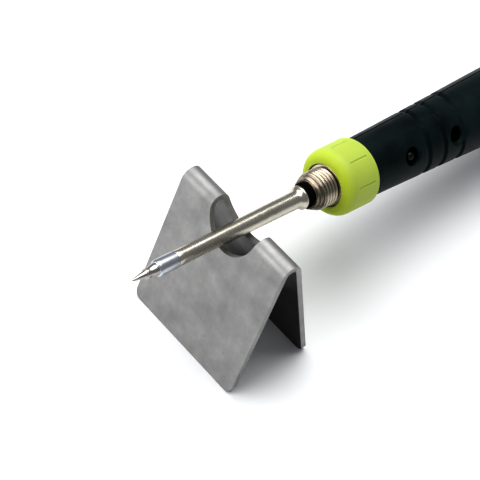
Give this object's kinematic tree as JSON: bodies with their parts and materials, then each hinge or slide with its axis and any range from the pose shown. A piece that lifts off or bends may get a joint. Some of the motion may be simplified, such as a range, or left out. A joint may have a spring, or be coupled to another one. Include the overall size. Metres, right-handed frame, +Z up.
{
  "type": "pencil soldering iron with stand",
  "caption": "Small low-voltage pencil soldering iron with a cone bit and a lime clamping collar, resting in the notch of a folded stainless sheet stand.",
  "frame": {"origin": "centre of the whole object's footprint box on the floor the stand's feet rest on", "axes": "+Z up; +Y from the bit towards the handle's tail, square to the stand's fold; +X along the fold, to the right when looking from the bit towards the tail"},
  "size_m": [0.0382, 0.1896, 0.0398],
  "materials": {
    "stainless_sheet": "brushed, cloudy",
    "plated_bit": "plated, slightly worn",
    "bright_aluminium": "turned",
    "stainless_tube": "polished with a warm tint",
    "black_ring": "matte",
    "nickel_plate": "plated",
    "lime_plastic": "satin",
    "handle_plastic": "glossy, slightly translucent",
    "polished_steel": "polished",
    "black_steel": "black oxide",
    "ceramic": "unglazed",
    "tinned_wire": "tinned",
    "cream_insulator": "matte",
    "brass": "turned",
    "board_laminate": "solder-masked",
    "clear_lens": "clear epoxy",
    "black_epoxy": "moulded",
    "red_black_insulation": "soft"
  },
  "bodies": {
    "stand": {"stand": "stainless_sheet"},
    "handle": {"upper_shell": "handle_plastic", "lower_shell": "handle_plastic", "shell_screws": "black_steel", "front_bush": "brass", "touch_contact": "polished_steel", "touch_lead": "tinned_wire", "contact_holder": "cream_insulator", "cartridge_contact": "brass", "ground_lead": "tinned_wire", "circuit_board": "board_laminate", "indicator_led": "clear_lens", "power_transistor": "black_epoxy", "control_chip": "black_epoxy", "board_parts": "ceramic", "vibration_switch_can": "nickel_plate", "supply_leads": "red_black_insulation", "jack_housing": "black_epoxy", "jack_bushing": "nickel_plate", "jack_tip_contact": "brass"},
    "cartridge": {"solder_bit": "plated_bit", "bit_sleeve": "bright_aluminium", "barrel_tube": "stainless_tube", "heater_core": "ceramic", "heater_leads": "tinned_wire", "insulating_ring": "black_ring", "threaded_nose": "nickel_plate", "nose_insulator": "cream_insulator", "centre_pin": "brass"},
    "collar": {"collar": "lime_plastic"},
    "switch_ball": {"vibration_switch_ball": "polished_steel"}
  },
  "joints": [
    {"name": "lift_off", "type": "slide", "parent": "stand", "child": "handle", "axis": [0, 0, 1], "range_m": [0, 0.06]},
    {"name": "cartridge_draw", "type": "slide", "parent": "handle", "child": "cartridge", "axis": [0.0586, -0.9858, 0.1572], "range_m": [0, 0.006]},
    {"name": "collar_turn", "type": "hinge", "parent": "cartridge", "child": "collar", "pos_m": [-0.0025, -0.03172, 0.02888], "axis": [0.0586, -0.9858, 0.1572], "range_deg": [0, 1440]},
    {"name": "ball_roll", "type": "slide", "parent": "handle", "child": "switch_ball", "axis": [0.0586, -0.9858, 0.1572], "range_m": [0, 0.00276]}
  ],
  "couplings": [
    {"joint": "collar_turn", "follows": "cartridge_draw", "rad_per_m": 4188.8}
  ]
}
